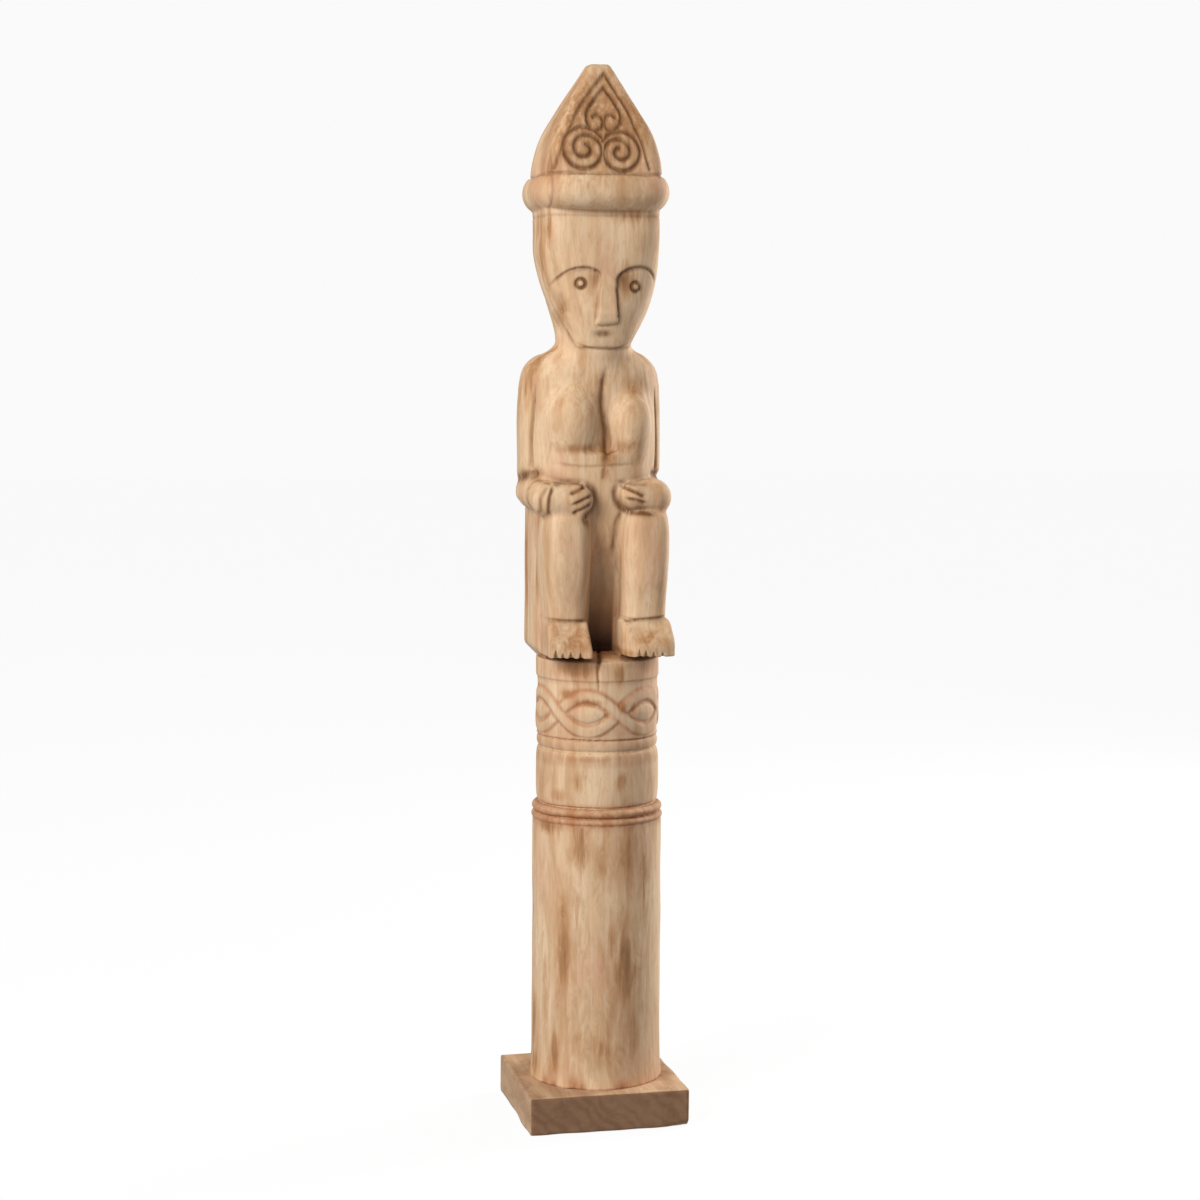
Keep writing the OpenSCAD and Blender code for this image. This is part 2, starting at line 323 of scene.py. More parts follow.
# Each part's lowest and highest point, its distance, and the softness of its join to the ones above
PARTS = [
    (0, 475, lambda x, y, z: column(x - FIGURE_SHIFT, y, z), 1),
    (440, 590, seat, 2),
    (440, 600, legs, 3),
    (440, 655, belly, 6),
    (550, 760, chest, 8),
    (600, 735, breasts, 10),
    (580, 745, upper_arm, 3.5),
    (570, 630, forearms, 5),
    (680, 800, neck, 5),
    (735, 880, back_of_head, 3),
    (730, 880, face, 2),
    (750, 830, nose, 1.5),
    (855, 905, brim, 1.5),
    (885, 1010, hat, 1.5),
]


def trunk_form(x, y, z):
    """Distance from the trunk without its fine lines, with x from the column's axis."""
    x = x + FIGURE_SHIFT
    d = np.full(np.broadcast_shapes(x.shape, y.shape, z.shape), FAR)
    for low, high, part, blend in PARTS:
        if z.max() > low and z.min() < high:
            d = smooth_union(d, part(x, y, z), blend)
    return d


def screw_holes(x, y, z):
    """Countersunk mouths for the screw heads on the underside."""
    gap, cone, depth = 0.1, 3, 6
    d = FAR
    for name in SCREWS:
        low, high = (millimetres(corner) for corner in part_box(name))
        mid_x, mid_y = (low[0] + high[0]) / 2, (low[1] + high[1]) / 2
        head_r = (high[0] - low[0]) / 2 + gap
        cone_r = head_r - np.clip(z - low[2], 0, cone)
        reach = np.hypot(x - mid_x, y - mid_y) - cone_r
        d = np.minimum(d, np.maximum(reach, z - low[2] - depth))
    return d


def board_form(x, y, z):
    middle = (BOARD_LOW + BOARD_HIGH) / 2
    half = (BOARD_HIGH - BOARD_LOW) / 2
    edge_r = 1.4
    box = rounded_box(x, y, z, middle, half, edge_r)
    # The lower front edge was sawn from the outside of the log, so it rises towards the right
    start_x, rise, backwards, upwards, inset = 30, 0.09, 0.75, 0.64, 0.8
    wane = rise * np.maximum(x - start_x, 0) - backwards * (y + half[1]) - upwards * z - inset
    return np.maximum(smooth_both(box, wane, 2), -screw_holes(x, y, z))


# ---- From distance field to mesh ----

def in_slabs(points, distance, slab=24):
    """Distance at scattered points, worked out slab by slab so that each slab meets few parts."""
    result = np.empty(len(points))
    slabs = np.floor(points[:, 2] / slab).astype(int)
    for index in np.unique(slabs):
        chosen = slabs == index
        x, y, z = points[chosen].T
        result[chosen] = distance(x, y, z)
    return result


def gradient(points, distance, step=0.4):
    """Unit normals from four corners of a small tetrahedron."""
    total = np.zeros_like(points)
    for corner in ((1, -1, -1), (-1, -1, 1), (-1, 1, -1), (1, 1, 1)):
        offset = np.array(corner, float)
        total += offset * in_slabs(points + step * offset, distance)[:, None]
    size = np.linalg.norm(total, axis=1, keepdims=True)
    return total / np.maximum(size, 1e-9), size[:, 0] / (4 * step)


def settle(points, distance, rounds=3):
    """Moves the points onto the surface."""
    least_slope = 0.4
    for _ in range(rounds):
        normals, slope = gradient(points, distance)
        move = in_slabs(points, distance) / np.maximum(slope, least_slope)
        points = points - normals * np.clip(move, -1, 1)[:, None]
    return points


def grid_field(axes, distance, levels=16):
    xs, ys, zs = axes
    field = np.empty((len(xs), len(ys), len(zs)))
    for start in range(0, len(zs), levels):
        part = zs[start:start + levels]
        corners = (xs[:, None, None], ys[None, :, None], part[None, None, :])
        field[:, :, start:start + levels] = distance(*corners)
    return field


def surface_net(field, axes):
    """Quads of the zero surface: one vertex in each cell that it passes through."""
    cells = np.array(field.shape) - 1
    total, count, quads = np.zeros((cells.prod(), 3)), np.zeros(cells.prod()), []
    for axis in range(3):
        near = np.moveaxis(field, axis, 0)[:-1]
        far = np.moveaxis(field, axis, 0)[1:]
        where = np.argwhere(np.moveaxis((near < 0) != (far < 0), 0, axis))
        a = field[tuple(where.T)]
        step = np.eye(3, dtype=int)[axis]
        b = field[tuple((where + step).T)]
        place = np.stack([axes[k][where[:, k]] for k in range(3)], axis=1)
        place[:, axis] += (axes[axis][where[:, axis] + 1] - place[:, axis]) * a / (a - b)
        u, v = np.eye(3, dtype=int)[(axis + 1) % 3], np.eye(3, dtype=int)[(axis + 2) % 3]
        ring = [np.ravel_multi_index((where - back).T, cells) for back in (u + v, v, 0 * u, u)]
        for cell in ring:
            count += np.bincount(cell, minlength=len(count))
            for k in range(3):
                total[:, k] += np.bincount(cell, place[:, k], minlength=len(count))
        ring = np.stack(ring, axis=1)
        quads.append(np.where((a < 0)[:, None], ring, ring[:, ::-1]))
    used = np.flatnonzero(count)
    number = np.full(len(count), -1)
    number[used] = np.arange(len(used))
    return total[used] / count[used][:, None], number[np.concatenate(quads)]


def mesh_from(name, points, faces):
    mesh = bpy.data.meshes.new(name)
    mesh.from_pydata(points, [], faces)
    return mesh


def mesh_points(mesh):
    flat = np.empty(len(mesh.vertices) * 3)
    mesh.vertices.foreach_get("co", flat)
    return flat.reshape(-1, 3)


def refine(mesh, wanted):
    """Halves the edges of the faces whose middles are wanted."""
    net = bmesh.new()
    net.from_mesh(mesh)
    middles = np.array([face.calc_center_median() for face in net.faces])
    marked = wanted(middles)
    edges = {edge for face, chosen in zip(net.faces, marked) if chosen for edge in face.edges}
    bmesh.ops.subdivide_edges(net, edges=sorted(edges, key=lambda e: e.index), cuts=1, use_grid_fill=True)
    net.to_mesh(mesh)
    net.free()


def triangulate_many_sided(mesh):
    net = bmesh.new()
    net.from_mesh(mesh)
    bmesh.ops.triangulate(net, faces=[face for face in net.faces if len(face.verts) > 4])
    net.to_mesh(mesh)
    net.free()


# ---- Carved lines ----

def smooth_path(points, step):
    """A smooth line through a few points, given in any flat chart."""
    points = np.array(points, float)
    if len(points) == 2:
        return points
    along = np.concatenate([[0], np.cumsum(np.linalg.norm(np.diff(points, axis=0), axis=1))])
    t = np.linspace(0, along[-1], max(8, int(along[-1] / step)))
    return np.stack([through(t, along, points[:, k]) for k in range(2)], axis=1)


def cut(points, width, depth, stain, step=1.5):
    """A carved line: its path, and how wide, deep and brown it is."""
    return smooth_path(points, step), width, depth, stain


def distance_to_path(u, v, path):
    """Distance to the path, and the share of its length at which it is nearest."""
    best, share = np.full(len(u), FAR), np.zeros(len(u))
    count = len(path) - 1
    for index in range(count):
        (u0, v0), (u1, v1) = path[index], path[index + 1]
        du, dv = u1 - u0, v1 - v0
        t = np.clip(((u - u0) * du + (v - v0) * dv) / max(du * du + dv * dv, 1e-9), 0, 1)
        gap = np.hypot(u - u0 - t * du, v - v0 - t * dv)
        share = np.where(gap < best, (index + t) / count, share)
        best = np.minimum(best, gap)
    return best, share


def ornament_middle(z):
    """The scrolls lean slightly with the hat, and more near its tip."""
    lean, curl = 0.065, 0.0011
    return -1.5 + lean * (z - 920) + curl * np.maximum(z - 940, 0) ** 2


def scroll(side, middle_x, middle_z, size):
    """Spiral that starts at the scrolls' shared root and winds inwards."""
    knots = np.array([-610, -430, -270, -180, -90, 145.0])
    radii = np.array([3.5, 9.0, 12.3, 17.0, 20.0, 20.5])
    angles = np.arange(150, -610, -12.0)
    r = size * through(angles, knots, radii)
    u = middle_x + side * r * np.cos(np.radians(angles))
    v = middle_z + r * np.sin(np.radians(angles))
    return np.stack([u, v], axis=1)


def leaned(side, points):
    return [(ornament_middle(z) + side * offset, z) for offset, z in points]


def hat_lines():
    border = [(46.5, 901), (38, 924), (30.5, 941), (25, 954), (13.8, 971), (0, 991)]
    heart = [(0, 977), (9.5, 964), (16, 951.5), (14.5, 941.5), (8.5, 936), (2.5, 938.5),
             (0.8, 944), (2.8, 949.5), (6.5, 951.3), (10, 949)]
    lines = []
    for side in (-1, 1):
        narrower = 0.94 if side > 0 else 1
        edge = [(offset * narrower, high) for offset, high in border]
        lines.append(cut(leaned(side, edge), 4.3, 1.5, 0.75))
        lines.append(cut(leaned(side, heart), 4.4, 1.7, 0.9, step=1))
    lines.append((scroll(-1, -20.0, 919.5, 0.96), 4.8, 1.9, 0.95))
    lines.append((scroll(1, 13.6, 916.8, 0.9), 4.8, 1.9, 0.95))
    return lines


# Each brow as (x, height) points, from its outer end to its inner one
RIGHT_BROW = [(-47, 794.5), (-41, 802), (-33, 807.5), (-23, 810.3), (-12, 809.5), (-5, 805.5), (-3, 799)]
LEFT_BROW = [(11.2, 795), (13, 802), (20, 807.8), (29, 811), (37, 811.3), (43, 809.5), (49, 804),
             (51.5, 798)]


def brow_height(x):
    """Upper edge of the eye sockets."""
    heights = [through(x, *np.array(sorted(brow)).T) for brow in (RIGHT_BROW, LEFT_BROW)]
    return np.where(x < 4, heights[0], heights[1])


def face_lines():
    return [
        cut(RIGHT_BROW, 2.8, 1.4, 0.75),
        cut(LEFT_BROW, 3.2, 1.5, 0.85),
        cut([(-3, 799), (-5.8, 786), (-7.2, 772), (-8, 760)], 2.4, 0.9, 0.5),
        cut([(11.2, 795), (12.4, 780), (13, 762)], 3.6, 0.9, 0.75),
        cut([(-8, 759), (-4, 757), (2, 757), (9, 758), (13, 762)], 2.4, 0.3, 0.25),
        cut([(-22, 741), (-16, 738), (-4, 736), (12, 736), (25, 741)], 2.2, 0.7, 0.45),
        cut([(-50.5, 936), (-51, 905), (-51, 872), (-50.5, 843)], 2.4, 0.4, 0.4),
        cut([(-40, 788), (-37, 777), (-34, 768)], 5.0, 0.5, 0.35),
    ]


def body_lines():
    return [
        cut([(5.5, 716), (1.8, 690), (3.5, 668), (6.3, 653), (4.0, 630)], 7.0, 2.6, 0.7),
        cut([(-43, 629), (-18, 626), (6, 627), (31, 628)], 4.0, 0.8, 0.22),
        cut([(2, 629), (0.8, 614)], 4.0, 0.6, 0.5),
        cut([(-34.5, 602), (-26, 605.5), (-17, 610)], 3.6, 2.2, 0.9),
        cut([(-32, 592), (-22, 596.5), (-11, 601.5)], 3.6, 2.2, 0.9),
        cut([(-32, 583.5), (-22.5, 587.5), (-13, 593.5)], 3.6, 2.2, 0.85),
        cut([(-48, 609.5), (-52, 603), (-54, 593), (-53.7, 586), (-52, 580)], 3.4, 2.0, 0.85),
        cut([(-66, 617), (-58, 614), (-49, 611)], 4.0, 0.6, 0.5),
        cut([(-54, 609), (-59.4, 602), (-61.6, 593), (-59.6, 581)], 3.4, 1.3, 0.6),
        cut([(-49, 609), (-42, 612), (-31, 612.5), (-18, 611.5)], 4.5, 0.8, 0.7),
        cut([(-18, 612), (-9, 605), (-7, 595.5), (-10.5, 587), (-20, 578), (-13, 570)], 6.0, 0.8, 0.9),
        cut([(17, 609), (26, 604.5), (38, 598.5)], 3.6, 2.0, 0.9),
        cut([(20, 597), (29, 595.5), (39, 592.5)], 3.4, 1.8, 0.8),
        cut([(14, 613), (24, 611), (42, 610)], 4.5, 0.8, 0.6),
        cut([(14, 610), (11.5, 602), (15, 592), (22, 585.5), (34, 584), (50, 583)], 6.0, 0.8, 0.9),
        cut([(21, 586), (15, 576), (13, 562), (12, 545)], 5.0, 0.8, 0.6),
        cut([(-53, 484), (-36, 483), (-15, 482.5)], 3.2, 1.3, 0.75),
        cut([(20, 482), (34, 483), (62, 485)], 3.2, 1.3, 0.85),
    ]


def side_lines():
    """Upright grooves of the seat, the arms and the jaw, as (depth, height) points."""
    return [
        cut([(40, 455), (41, 510), (40, 572)], 5.5, 2.0, 0.45),
        cut([(3, 455), (2, 510), (2, 572)], 6.0, 2.2, 0.4),
        cut([(-7, 700), (-6, 680), (-4, 655), (-3, 618)], 4.0, 2.6, 0.6),
        cut([(32, 611), (8, 615.5), (-14, 620)], 9.0, 2.6, 0.85),
        cut([(-8, 828), (-11, 802), (-13, 782), (-16, 766), (-22, 748), (-27, 738)], 4.2, 2.4, 0.8),
    ]


HAT_LINES = hat_lines()
BODY_LINES = face_lines() + body_lines()
SIDE_LINES = side_lines()
EYES = [(-22.5, 795.9), (31, 793.3)]
CRACK_AZIMUTH = math.radians(-11.6)
BAND_START, CROSSINGS = math.radians(-22), 6

# Chips at the column's foot: azimuth from the front and half angle in degrees, height, depth
CHIPS = [(-63, 5, 9, 1.32), (-52, 4, 6, 1.2), (-32, 5, 11, 1.56), (-24, 3.5, 6, 0.96), (12, 6, 7, 0.72),
         (118, 5, 8, 1.2), (190, 6, 7, 1.2)]

# Notches between the toes, which lie in front of TOES_Y: x, height of the tip, half width
TOES_Y = -56
TOE_NOTCHES = [(-48.5, 458, 2.4), (-42, 455, 1.4), (-34.5, 456.5, 2.0), (-25.5, 455.5, 1.5),
               (31, 457.5, 2.2), (37.5, 456, 1.9), (45, 454.3, 1.2), (54, 453.5, 1.1)]

# Lines that run all round: height, width, depth, stain
RING_LINES = [(HAT_Z, 3.6, 1.2, 0.5), (858, 3.0, 0.5, 0.3), (BAND_Z[1], 3.6, 0.3, 0.25)]
# Brown rings without a line: height, half width, strength
RING_TINTS = [(296, 11, 0.55), (350, 6, 0.3), (365, 6, 0.25), (371, 3, 0.35), (376, 9, 0.2), (434, 9, 0.15)]

# Brown wash on the column: azimuth from the front in degrees, height, half angle, half height, strength
COLUMN_WASH = [
    (-42, 163, 7.5, 38, 0.8), (-43, 205, 3, 22, 0.6), (-27, 270, 8, 25, 0.75), (-60, 287, 14, 8, 0.85),
    (17, 264, 11, 32, 0.55), (15, 154, 12, 34, 1.0), (2, 178, 5, 22, 0.6), (-10, 72, 14, 22, 0.6),
    (-52, 68, 6, 22, 0.75), (-82, 53, 7, 12, 0.8), (22, 90, 8, 26, 0.5), (34, 232, 7, 50, 0.5),
    (-33, 437, 18, 8, 1.0), (8, 433, 5, 9, 0.9), (45, 438, 14, 8, 0.4), (-41, 413, 8, 5, 0.85),
    (-22, 406, 14, 4, 0.75), (11, 402, 5, 6, 0.85), (-3.4, 394, 3, 3, 0.9), (23, 400, 3, 5, 0.7),
    (-27, 331, 9, 12, 0.4), (10, 331, 7, 9, 0.5), (-51, 316, 12, 6, 0.45), (-21, 352, 22, 3, 0.45),
    (-4, 298, 70, 3, 0.6), (-9, 290, 60, 3, 0.5), (-64, 120, 5, 44, 0.45),
    (14, 152, 24, 66, 0.36), (-36, 170, 18, 64, 0.3), (-8, 84, 34, 36, 0.32), (4, 258, 34, 34, 0.3),
]

# The same on the figure: x from its middle, height, half width, half height, strength
FIGURE_WASH = [
    (-19, 643, 17, 4.5, 0.8), (27, 646, 12, 8, 0.7), (34, 700, 14, 11, 0.55), (0, 704, 7, 11, 0.45),
    (5.6, 637, 7, 9, 0.9), (3, 621, 5, 9, 0.6), (-33, 464, 22, 14, 0.6), (40, 464, 22, 12, 0.5),
    (27, 858, 22, 7, 0.45), (-52, 905, 5, 24, 0.5), (-52, 846, 5, 20, 0.6), (0, 948, 17, 36, 0.55),
    (-42, 924, 12, 30, 0.6), (22, 798, 13, 17, 0.4), (-9, 800, 6, 9, 0.45), (36, 780, 8, 20, 0.12),
    # The patch at x 8, height 452 lies at the bottom of the hollow between the legs: partly brown wash,
    # partly painted shade
    (8, 452, 24, 5, 0.9), (-44, 560, 5, 20, 0.3), (48, 520, 8, 30, 0.08), (20, 872, 30, 5, 0.3),
    (-44, 700, 10, 14, 0.3), (3, 560, 12, 30, 0.1), (3, 590, 16, 14, 0.06), (-36, 770, 4, 14, 0.6),
    (4, 640, 7, 14, 1.3), (0, 944, 60, 50, 0.75), (-8, 684, 50, 36, 0.25), (30, 560, 8, 20, 0.15),
]


def figure_axes(points):
    """x from the figure's middle, y and z."""
    return points[:, 0] + FIGURE_SHIFT, points[:, 1], points[:, 2]


def charts(points, normals):
    """Flat charts of the surface: coordinates, points held, lines, and the tapered share of a line."""
    x, y, z = figure_axes(points)
    # The walls of the crease between the breasts face almost sideways
    on_chest = np.abs(z - 665) < 60
    facing = normals[:, 1] < np.where(on_chest, 0.05, -0.12)
    front = facing & (y < -4) & (z > FLOOR_Z - 3)
    nearest_x = np.where(z > 730, 18, 44)
    side = (np.abs(normals[:, 0]) > 0.5) & (np.abs(x) > nearest_x) & (z < 832) & (z > FLOOR_Z + 8)
    taper = 0.13
    return [(x, z, front, HAT_LINES, 0), (x, z, front, BODY_LINES, taper), (y, z, side, SIDE_LINES, taper)]


def lines_near(points, normals, margin=9):
    """For each carved line: which points are near, how far off, its half width, depth and colour there."""
    for u, v, held, lines, taper in charts(points, normals):
        for path, width, depth, colour in lines:
            low, high = path.min(axis=0) - margin, path.max(axis=0) + margin
            near = held & (u > low[0]) & (u < high[0]) & (v > low[1]) & (v < high[1])
            if near.any():
                gap, share = distance_to_path(u[near], v[near], path)
                ends = np.minimum(share, 1 - share)
                full = np.clip(0.25 + 0.75 * ends / taper, 0, 1) if taper else 1
                yield near, gap, width / 2, depth * full, colour * full


def nearest_line(points, normals):
    """Distance to the nearest carved line, less half its width."""
    best = np.full(len(points), FAR)
    for near, gap, half_width, _depth, _colour in lines_near(points, normals):
        best[near] = np.minimum(best[near], gap - half_width)
    x, y, z = figure_axes(points)
    eye_r = 6
    for eye_x, eye_z in EYES:
        ring = np.hypot(x - eye_x, z - eye_z) - eye_r
        best = np.where(y < -20, np.minimum(best, ring), best)
    return best


def carve_lines(points, normals):
    """Height and stain of every point from the carved lines."""
    height, stain = np.zeros(len(points)), np.zeros(len(points))
    for near, gap, half_width, depth, colour in lines_near(points, normals):
        gap = gap / half_width
        height[near] = np.minimum(height[near], -depth * np.exp(-1.3 * gap ** 2))
        stain[near] = np.maximum(stain[near], colour * np.exp(-(gap / 1.15) ** 2))
    return height, stain


def mark(height, stain, where, rise, colour):
    """Height and stain with one more raised, sunk or brown place."""
    return height + np.where(where, rise, 0), np.where(where, np.maximum(stain, colour), stain)


def carve_face(points, normals, height, stain):
    """Eye sockets under the brows, ringed eyes and the shallow mouth."""
    x, y, z = figure_axes(points)
    on_face = (y < -12) & (normals[:, 1] < -0.12) & (z > 742) & (z < 822)
    below = brow_height(x) - z
    step = np.clip(below / 3, 0, 1)
    fade = np.clip(1 - below / 34, 0, 1)
    near, far = nose_edges(z)
    aside = np.maximum(near - x, x - far)
    reach = np.clip(aside / 2, 0, 1) * np.clip((38 - aside) / 20, 0, 1)
    in_socket, depth = on_face & (below > 0), 2.6
    inner_corner = np.exp(-((aside - 4) / 7) ** 2 - ((z - 801) / 9) ** 2) * (aside > 0)
    shade = np.where(x > 0, 0.8, 0.4) * inner_corner
    height, stain = mark(height, stain, in_socket, -depth * step * fade * reach, shade)
    ball_r, ring_r, ring_half = 7, 4.2, 1.8
    for eye_x, eye_z in EYES:
        r = np.hypot(x - eye_x, z - eye_z)
        ball = np.clip(1 - (r / ball_r) ** 4, 0, 1)
        ring = np.exp(-((r - ring_r) / ring_half) ** 2)
        height, stain = mark(height, stain, on_face, 0.7 * ball - 1.7 * ring, 1.4 * ring)
    mouth_x, mouth_z = 0.4, 749.8
    mouth = np.exp(-(((x - mouth_x) / 8) ** 2 + ((z - mouth_z) / 3.4) ** 2) ** 1.3)
    return mark(height, stain, on_face, -1.2 * mouth, mouth)


def ribbons(azimuth, up):
    """Relief and stain of two ribbons that wave round the column, each over the other by turns."""
    amplitude, half_ribbon, ground = 17.0, 4.9, -0.7
    phase = (azimuth - BAND_START) * CROSSINGS / 2
    slope = amplitude * np.sin(phase) * CROSSINGS / 2 / BAND_R
    tilt = 1 / np.sqrt(1 + slope ** 2)
    bodies, edges, lifts = [], [], []
    relief = np.full(len(up), ground)
    for sign in (-1, 1):
        across = np.abs(up - sign * amplitude * np.cos(phase)) * tilt / half_ribbon
        bodies.append(np.clip((1.35 - across) / 0.5, 0, 1))
        edges.append(np.exp(-((across - 1.2) / 0.45) ** 2))
        lifts.append(np.clip(sign * np.sin(phase), 0, 1))
        top = 0.75 - 0.3 * across ** 2 + 0.4 * lifts[-1]
        relief = np.maximum(relief, ground + (top - ground) * bodies[-1])
    hidden = [bodies[1] * (lifts[1] > lifts[0]), bodies[0] * (lifts[0] > lifts[1])]
    return relief, 0.65 * np.maximum(edges[0] * (1 - hidden[0]), edges[1] * (1 - hidden[1]))


def almonds(azimuth, up, relief, paint):
    """Adds the pointed bosses that lie in the ribbons' loops."""
    half_long, half_tall, share = 17.5, 8.4, math.pi / CROSSINGS
    along = ((azimuth - BAND_START + share) % (2 * share) - share) * BAND_R
    outline = np.abs(along / half_long) ** 1.6 + np.abs(up / half_tall) ** 1.5
    boss = np.clip(1 - outline, 0, 1)
    relief = np.where(outline < 1, np.maximum(relief, -0.5 + 2.0 * boss ** 0.6), relief)
    paint = np.where(outline < 0.85, 0.02, paint)
    edge = np.exp(-((outline - 1.05) / 0.2) ** 2) * (np.abs(along) < half_long + 3.5)
    return relief, np.maximum(paint, 0.5 * edge)


def carve_band(points, height, stain):
    """The worn ornament that runs round the column below the feet."""
    x, y, z = points.T
    azimuth, up = np.arctan2(x, -y), z - BAND_MIDDLE
    relief, paint = almonds(azimuth, up, *ribbons(azimuth, up))
    inside = (z > BAND_Z[0]) & (z < BAND_Z[1]) & (np.hypot(x, y) > BAND_R - 4)
    rim = np.clip(np.minimum(z - BAND_Z[0], BAND_Z[1] - z) / 3, 0, 1)
    return mark(height, stain, inside, relief * rim, paint * rim)


def carve_toes(points, height, stain):
    """Small pointed notches in the front edge of each foot."""
    x, y, z = figure_axes(points)
    sole, depth = FLOOR_Z + 3, 3.2
    for middle, tip, half in TOE_NOTCHES:
        rise = np.clip((tip - z) / (tip - sole), 0, 1)
        gap = np.abs(x - middle) / (0.4 + half * rise)
        notch = np.exp(-gap ** 2) * rise ** 0.5 * (y < TOES_Y) * (z > sole - 1)
        height = height - depth * notch
        stain = np.maximum(stain, 0.9 * notch)
    return height, stain


def carve_crack(points, height, stain):
    """Drying crack in the front of the seat floor, widest at its upper edge."""
    x, y, z = points.T
    across = np.abs((np.arctan2(x, -y) - CRACK_AZIMUTH) * BAND_R + 0.3 * np.sin(z / 4))
    t = np.clip((z - 418) / 28, 0, 1)
    inside = (z > 416) & (z < 460) & (y < -14)
    gap = across / (0.9 + 1.5 * t ** 2)
    crack = np.exp(-gap ** 2)
    return mark(height, stain, inside, -(1 + 3 * t) * crack, 0.8 * crack)


def carve_foot(points, height, stain):
    """Small brown hollows where the column's foot was chipped."""
    x, y, z = points.T
    azimuth = np.degrees(np.arctan2(x, -y))
    above = z - BOARD_TOP
    for middle, half_turn, tall, deep in CHIPS:
        turn = (azimuth - middle + 180) % 360 - 180
        chip = np.exp(-(turn / half_turn) ** 2 - (above / tall) ** 2)
        height = height - deep * chip
        stain = np.maximum(stain, 0.95 * chip)
    return height, stain


def carve_rings(points, normals, height, stain):
    """Lines cut right round the hat, the head and the column."""
    z = points[:, 2]
    upright = np.abs(normals[:, 2]) < 0.93
    for middle, width, depth, colour in RING_LINES:
        gap = np.abs(z - middle - 0.25 * np.sin(points[:, 0] / 9)) / (width / 2)
        groove, tint = np.clip(1 - gap ** 2, 0, 1), np.exp(-(gap / 1.1) ** 2)
        height, stain = mark(height, stain, upright, -depth * groove, colour * tint)
    for middle, half, colour in RING_TINTS:
        stain = np.maximum(stain, colour * np.exp(-((z - middle) / half) ** 4))
    return height, stain


def brown_patches(points):
    """Where the brown wash was left on the wood, with some painted shade low between the legs. The back's
    patches are random, with a fixed seed.
    """
    x, y, z = points.T
    azimuth = np.arctan2(x, -y)
    rng = np.random.default_rng(seed=7)
    spots = [(math.radians(turn), high, math.radians(half_turn), half_h, strength)
             for turn, high, half_turn, half_h, strength in COLUMN_WASH]
    back_patches, back_from, back_to = 60, math.radians(70), math.radians(290)
    for _ in range(back_patches):
        spots.append((rng.uniform(back_from, back_to), rng.uniform(BOARD_TOP, BRIM_Z - 1),
                      rng.uniform(0.05, 0.15), rng.uniform(12, 44), rng.uniform(0.35, 0.8)))
    soak = np.zeros(len(points))
    for turn, high, half_turn, half_h, strength in spots:
        gap = (azimuth - turn + math.pi) % (2 * math.pi) - math.pi
        reach = (gap / half_turn) ** 2 + ((z - high) / half_h) ** 2
        soak = np.maximum(soak, strength * np.exp(-reach ** 1.4))
    for middle, high, half_w, half_h, strength in FIGURE_WASH:
        gap = (x + FIGURE_SHIFT - middle) / half_w
        soak = np.maximum(soak, strength * (y < 0) * np.exp(-gap ** 2 - ((z - high) / half_h) ** 2))
    return soak


def between_legs(points):
    """How far down the hollow between the legs a point lies, for the painted shade that darkens it towards
    the bottom.
    """
    x, y, z = figure_axes(points)
    aside = np.clip((15 - np.abs(x - 4)) / 4, 0, 1) * (y > -46) * (y < 0) * (z > FLOOR_Z + 5)
    return aside * np.clip((592 - z) / 135, 0, 1)


def hand_worn(points):
    """Slow unevenness of a surface cut by hand."""
    x, y, z = points.T
    waves = ((0.11, 0.05, 0.013, 0.0), (-0.07, 0.12, 0.021, 1.3), (0.05, 0.09, 0.055, 2.1),
             (0.16, -0.11, 0.031, 4.0), (0.02, -0.05, 0.09, 0.7))
    total = sum(np.sin(a * x + b * y + c * z + d) for a, b, c, d in waves)
    return 0.13 * total


def on_toes(points):
    y, z = points[:, 1], points[:, 2]
    return (y < TOES_Y) & (z > FLOOR_Z) & (z < FLOOR_Z + 17)


def on_rings(points):
    """The turned rings, the ornament band and the lines that run all round."""
    z = points[:, 2]
    turned = ((z > SHAFT_TOP) & (z < 312)) | ((z > 347) & (z < FLOOR_Z + 4))
    lines = np.array([line[0] for line in RING_LINES])
    return turned | (np.abs(z[:, None] - lines).min(axis=1) < 3)


def in_hollow(points, normals, distance, reach):
    """1 deep in a corner, 0 on open or rounded surfaces."""
    open_air = in_slabs(points + normals * reach, distance)
    return np.clip(1 - open_air / reach, 0, 1)


def move_points(mesh, points):
    mesh.vertices.foreach_set("co", (points * MM).astype(np.float32).ravel())
    mesh.update()


def set_attribute(mesh, name, values):
    attribute = mesh.attributes.new(name, "FLOAT", "POINT")
    attribute.data.foreach_set("value", values.astype(np.float32))


def trunk_net():
    """The plain form's mesh, finer near the carved lines, the toes and the turned rings."""
    pitch, shaft_pitch = 2.0, 5
    # The grid avoids round numbers, so that no surface runs exactly through its points
    xs = np.arange(-81.4, 84, pitch)
    ys = np.arange(-75.4, 74, pitch)
    shaft = np.arange(BOARD_TOP + 8, SHAFT_TOP, shaft_pitch)
    zs = np.concatenate([np.arange(BOARD_TOP - 3, BOARD_TOP + 7, pitch), shaft,
                         np.arange(shaft[-1] + pitch, TIP_Z + 4, pitch)])
    axes = (xs, ys, zs)
    points, quads = surface_net(grid_field(axes, trunk_form), axes)
    mesh = mesh_from("trunk_carving", settle(points, trunk_form), quads.tolist())
    for margin, with_rings in ((2.2, True), (0.5, False)):
        def wanted(middles):
            normals, _slope = gradient(middles, trunk_form)
            near = (nearest_line(middles, normals) < margin) | on_toes(middles)
            return near | (on_rings(middles) & with_rings)
        refine(mesh, wanted)
    triangulate_many_sided(mesh)
    return mesh


